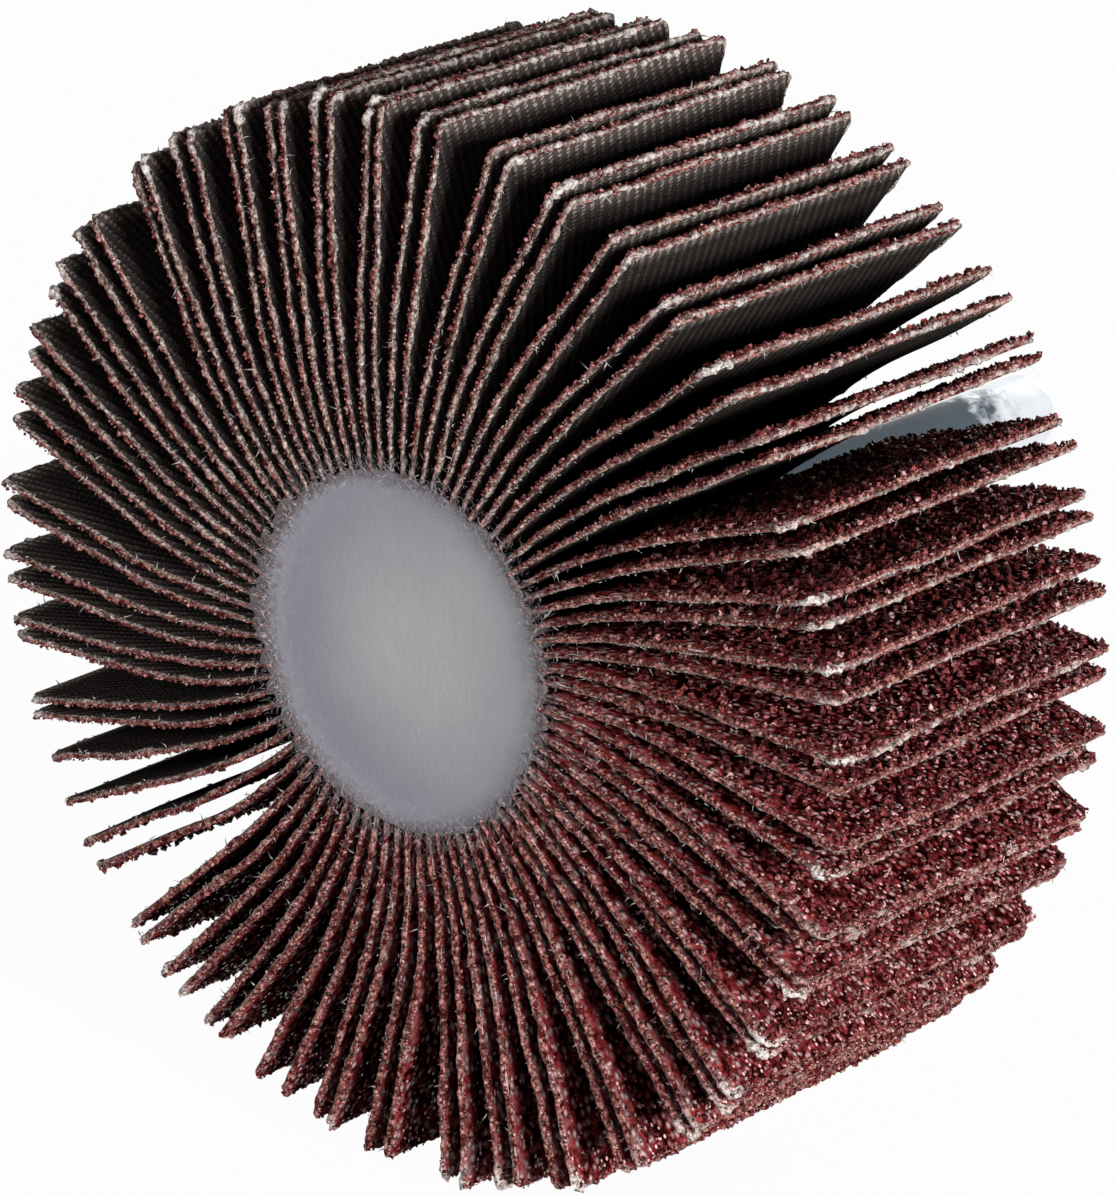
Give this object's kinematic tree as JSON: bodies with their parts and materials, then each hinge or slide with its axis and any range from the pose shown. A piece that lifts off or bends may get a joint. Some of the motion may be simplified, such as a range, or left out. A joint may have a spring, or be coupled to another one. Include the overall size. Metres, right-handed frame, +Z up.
{
  "type": "flap wheel",
  "caption": "Abrasive flap wheel: curved strips of coated cloth set radially in a resin core, on a steel spindle with a round shank for a drill or straight grinder.",
  "frame": {"origin": "on the spindle's axis, where the shank leaves the core's back face", "axes": "+Y along the spindle, out of the shank's free end; the front face looks to -Y; +Z is up"},
  "size_m": [0.0804, 0.0728, 0.08],
  "materials": {
    "steel": "zinc plated, smooth",
    "resin": "matt cast face",
    "abrasive_cloth": "coarse red-brown grit on one side, bare grey woven cloth on the other"
  },
  "bodies": {
    "root": {"spindle": "steel", "core": "resin", "flap_pair_01": "abrasive_cloth", "flap_pair_02": "abrasive_cloth", "flap_pair_03": "abrasive_cloth", "flap_pair_04": "abrasive_cloth", "flap_pair_05": "abrasive_cloth", "flap_pair_06": "abrasive_cloth", "flap_pair_07": "abrasive_cloth", "flap_pair_08": "abrasive_cloth", "flap_pair_09": "abrasive_cloth", "flap_pair_10": "abrasive_cloth", "flap_pair_11": "abrasive_cloth", "flap_pair_12": "abrasive_cloth", "flap_pair_13": "abrasive_cloth", "flap_pair_14": "abrasive_cloth", "flap_pair_15": "abrasive_cloth", "flap_pair_16": "abrasive_cloth", "flap_pair_17": "abrasive_cloth", "flap_pair_18": "abrasive_cloth", "flap_pair_19": "abrasive_cloth", "flap_pair_20": "abrasive_cloth", "flap_pair_21": "abrasive_cloth", "flap_pair_22": "abrasive_cloth", "flap_pair_23": "abrasive_cloth", "flap_pair_24": "abrasive_cloth", "flap_pair_25": "abrasive_cloth", "flap_pair_26": "abrasive_cloth", "flap_pair_27": "abrasive_cloth", "flap_pair_28": "abrasive_cloth", "flap_pair_29": "abrasive_cloth", "flap_pair_30": "abrasive_cloth", "flap_pair_31": "abrasive_cloth", "flap_pair_32": "abrasive_cloth", "flap_pair_33": "abrasive_cloth", "flap_pair_34": "abrasive_cloth", "flap_pair_35": "abrasive_cloth", "flap_pair_36": "abrasive_cloth", "flap_pair_37": "abrasive_cloth", "flap_pair_38": "abrasive_cloth", "flap_pair_39": "abrasive_cloth", "flap_pair_40": "abrasive_cloth", "flap_pair_41": "abrasive_cloth", "flap_pair_42": "abrasive_cloth", "flap_pair_43": "abrasive_cloth"}
  },
  "joints": []
}
